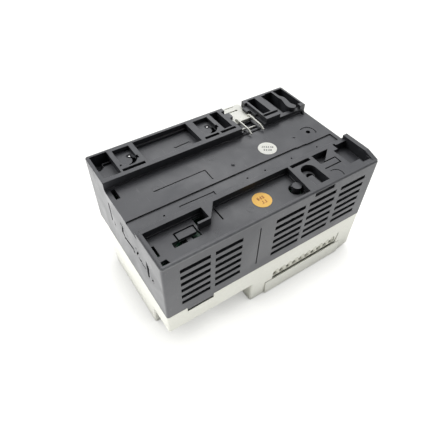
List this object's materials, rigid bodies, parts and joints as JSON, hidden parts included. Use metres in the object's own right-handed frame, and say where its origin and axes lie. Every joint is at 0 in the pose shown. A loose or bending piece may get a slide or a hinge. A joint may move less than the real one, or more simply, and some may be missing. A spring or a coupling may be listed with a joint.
{
  "type": "plc module",
  "caption": "Compact programmable controller case with rail latch, louvred rear housing, hinged terminal covers and front service doors.",
  "frame": {"origin": "middle of the front face, on the plane that the module rests on when it lies on its front", "axes": "+Z out of the back (the rail side), +X along the case, +Y towards the side with the rail latch"},
  "size_m": [0.143, 0.0944, 0.08],
  "materials": {
    "dark_case": "fine matt texture",
    "light_case": "fine matt texture",
    "latch_plastic": "satin",
    "terminal_plastic": "satin",
    "plated_steel": "zinc plated",
    "contact_brass": "tin flashed brass",
    "board": "solder mask",
    "frame_plastic": "matt",
    "black_plastic": "satin",
    "knob_plastic": "satin",
    "button_plastic": "satin",
    "clear_window": "clear polycarbonate",
    "led_lens": "tinted lens",
    "coin_steel": "satin",
    "ferrite": "sintered",
    "winding_tape": "polyester tape",
    "choke_winding": "enamelled copper",
    "capacitor_sleeve": "shrink sleeve",
    "heat_sink_metal": "extruded",
    "fuse_glass": "clear",
    "relay_case": "satin",
    "white_label": "paper",
    "orange_label": "paper"
  },
  "bodies": {
    "case": {"battery_holder": "black_plastic", "board_screws": "plated_steel", "board_spacers": "frame_plastic", "capacitors": "capacitor_sleeve", "case_screws": "plated_steel", "coin_cell": "coin_steel", "comm_port": "black_plastic", "cpu_board": "board", "cpu_header": "black_plastic", "expansion_cover": "light_case", "expansion_socket": "black_plastic", "far_terminal_block": "terminal_plastic", "far_terminal_clamps": "plated_steel", "far_terminal_contacts": "contact_brass", "far_terminal_screws": "plated_steel", "front_housing": "light_case", "fuse": "fuse_glass", "fuse_holder": "black_plastic", "heat_sink": "heat_sink_metal", "inner_frame": "frame_plastic", "input_led_window": "clear_window", "io_board": "board", "latch_spring": "latch_plastic", "leds": "led_lens", "line_choke": "choke_winding", "memory_chips": "black_plastic", "mode_switch_base": "black_plastic", "near_terminal_block": "terminal_plastic", "near_terminal_clamps": "plated_steel", "near_terminal_contacts": "contact_brass", "near_terminal_screws": "plated_steel", "optocouplers": "black_plastic", "output_led_window": "clear_window", "power_board": "board", "power_header": "black_plastic", "power_transistors": "black_plastic", "processor_chip": "black_plastic", "rear_housing": "dark_case", "relays": "relay_case", "reset_base": "black_plastic", "round_label_orange": "orange_label", "round_label_white": "white_label", "transformer_base": "black_plastic", "transformer_core": "ferrite", "transformer_winding": "winding_tape", "trim_base_1": "black_plastic", "trim_base_2": "black_plastic"},
    "latch": {"din_latch": "latch_plastic"},
    "near_cover": {"near_terminal_cover": "light_case"},
    "far_cover": {"far_terminal_cover": "light_case"},
    "comm_door_leaf": {"comm_door": "light_case"},
    "battery_door_leaf": {"battery_door": "light_case"},
    "trimmer_1": {"trim_knob_1": "knob_plastic"},
    "trimmer_2": {"trim_knob_2": "knob_plastic"},
    "reset": {"reset_button": "button_plastic"},
    "mode_lever": {"mode_switch_lever": "knob_plastic"}
  },
  "joints": [
    {"name": "latch_slide", "type": "slide", "parent": "case", "child": "latch", "axis": [0, 1, 0], "range_m": [0, 0.005]},
    {"name": "near_cover_hinge", "type": "hinge", "parent": "case", "child": "near_cover", "pos_m": [0.0285, -0.0268, 0.0021], "axis": [1, 0, 0], "range_deg": [0, 100]},
    {"name": "far_cover_hinge", "type": "hinge", "parent": "case", "child": "far_cover", "pos_m": [0.0073, 0.0268, 0.0021], "axis": [-1, 0, 0], "range_deg": [0, 100]},
    {"name": "comm_door_hinge", "type": "hinge", "parent": "case", "child": "comm_door_leaf", "pos_m": [-0.0643, 0, 0.0013], "axis": [0, 1, 0], "range_deg": [0, 100]},
    {"name": "battery_door_hinge", "type": "hinge", "parent": "case", "child": "battery_door_leaf", "pos_m": [0.0347, 0, 0.0013], "axis": [0, 1, 0], "range_deg": [0, 100]},
    {"name": "trimmer_1_turn", "type": "hinge", "parent": "case", "child": "trimmer_1", "pos_m": [-0.0585, 0.01, 0.007], "axis": [0, 0, 1], "range_deg": [-135, 135]},
    {"name": "trimmer_2_turn", "type": "hinge", "parent": "case", "child": "trimmer_2", "pos_m": [-0.0495, 0.01, 0.007], "axis": [0, 0, 1], "range_deg": [-135, 135]},
    {"name": "reset_press", "type": "slide", "parent": "case", "child": "reset", "axis": [0, 0, 1], "range_m": [0, 0.0008]},
    {"name": "mode_switch_slide", "type": "slide", "parent": "case", "child": "mode_lever", "axis": [0, 1, 0], "range_m": [0, 0.004]}
  ]
}
